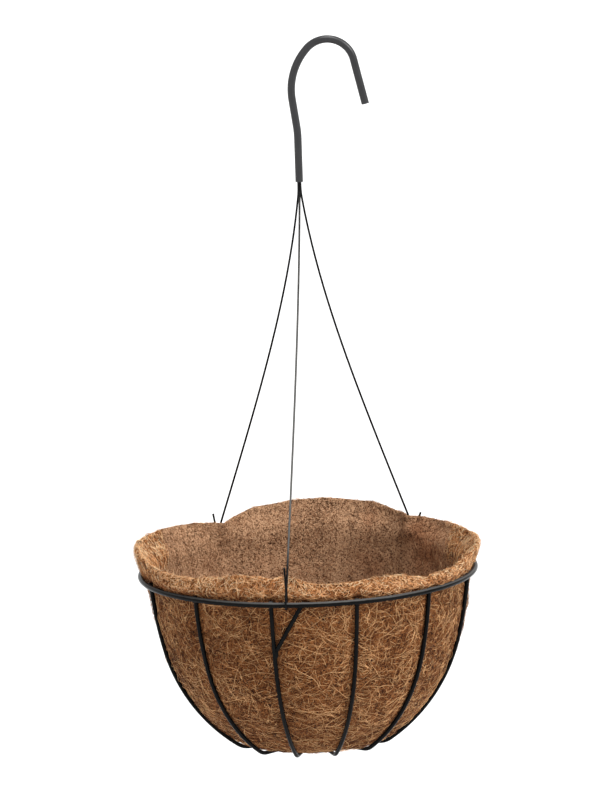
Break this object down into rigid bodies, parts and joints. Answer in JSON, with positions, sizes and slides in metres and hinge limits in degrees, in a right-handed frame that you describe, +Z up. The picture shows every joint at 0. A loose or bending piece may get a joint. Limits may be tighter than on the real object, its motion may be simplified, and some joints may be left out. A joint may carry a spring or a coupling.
{
  "type": "hanging basket",
  "caption": "Round wire hanging basket with a moulded coir liner, hung by spring wires that clip to its rim and meet in a sleeved hook.",
  "frame": {"origin": "inside of the hook's crown, the point that the basket hangs from", "axes": "+Z up along the basket's vertical axis; the hook lies in the XZ plane and opens downwards towards +X; -Y is the front, where one clip and its stop are"},
  "size_m": [0.3596, 0.3598, 0.7501],
  "materials": {
    "coated_wire": "satin",
    "hanger_wire": "satin",
    "hook_sleeve": null,
    "coir": null
  },
  "bodies": {
    "basket": {"rim_ring": "coated_wire", "base_ring": "coated_wire", "rib_01": "coated_wire", "rib_02": "coated_wire", "rib_03": "coated_wire", "rib_04": "coated_wire", "rib_05": "coated_wire", "rib_06": "coated_wire", "rib_07": "coated_wire", "rib_08": "coated_wire", "rib_09": "coated_wire", "rib_10": "coated_wire", "rib_11": "coated_wire", "rib_12": "coated_wire", "clip_stop_front": "coated_wire", "clip_stop_right": "coated_wire", "clip_stop_left": "coated_wire"},
    "hanger": {"hanger_wire_front": "hanger_wire", "hanger_wire_right": "hanger_wire", "hanger_wire_left": "hanger_wire", "hook_sleeve": "hook_sleeve"},
    "liner": {"coir_liner": "coir"}
  },
  "joints": [
    {"name": "hanger_lift", "type": "slide", "parent": "basket", "child": "hanger", "axis": [0, 0, 1], "range_m": [0, 0.44]},
    {"name": "liner_lift", "type": "slide", "parent": "basket", "child": "liner", "axis": [0, 0, 1], "range_m": [0, 0.22]}
  ],
  "couplings": [
    {"joint": "liner_lift", "follows": "hanger_lift", "ratio": 0.5}
  ]
}
